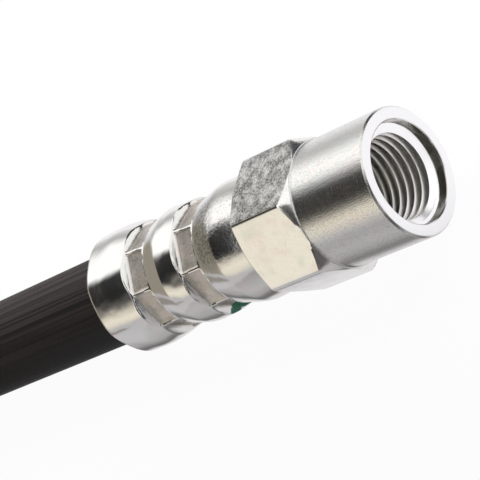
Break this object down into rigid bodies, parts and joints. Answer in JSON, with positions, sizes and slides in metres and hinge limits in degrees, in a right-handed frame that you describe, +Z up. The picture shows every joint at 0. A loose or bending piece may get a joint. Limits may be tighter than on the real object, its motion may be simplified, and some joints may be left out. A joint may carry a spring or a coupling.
{
  "type": "brake hose",
  "caption": "Rubber brake hose with crimped zinc-plated steel ends: an internally threaded hexagon fitting at one end, an externally threaded one at the other.",
  "frame": {"origin": "on the floor, under the middle of the internally threaded end (its fitting and ferrule together)", "axes": "+X along that end's axis, out of its threaded mouth; the hose leaves towards -X; +Z up, square to the hexagon flat that the end lies on"},
  "size_m": [0.3318, 0.0422, 0.014],
  "materials": {
    "turned_steel": "bright zinc plate over turned steel",
    "crimped_steel": "bright zinc plate over pressed steel",
    "hose_rubber": "matt black with fine lengthwise ribs"
  },
  "bodies": {
    "root": {"female_fitting": "turned_steel", "female_ferrule": "crimped_steel", "male_fitting": "turned_steel", "male_ferrule": "crimped_steel", "hose": "hose_rubber"}
  },
  "joints": []
}
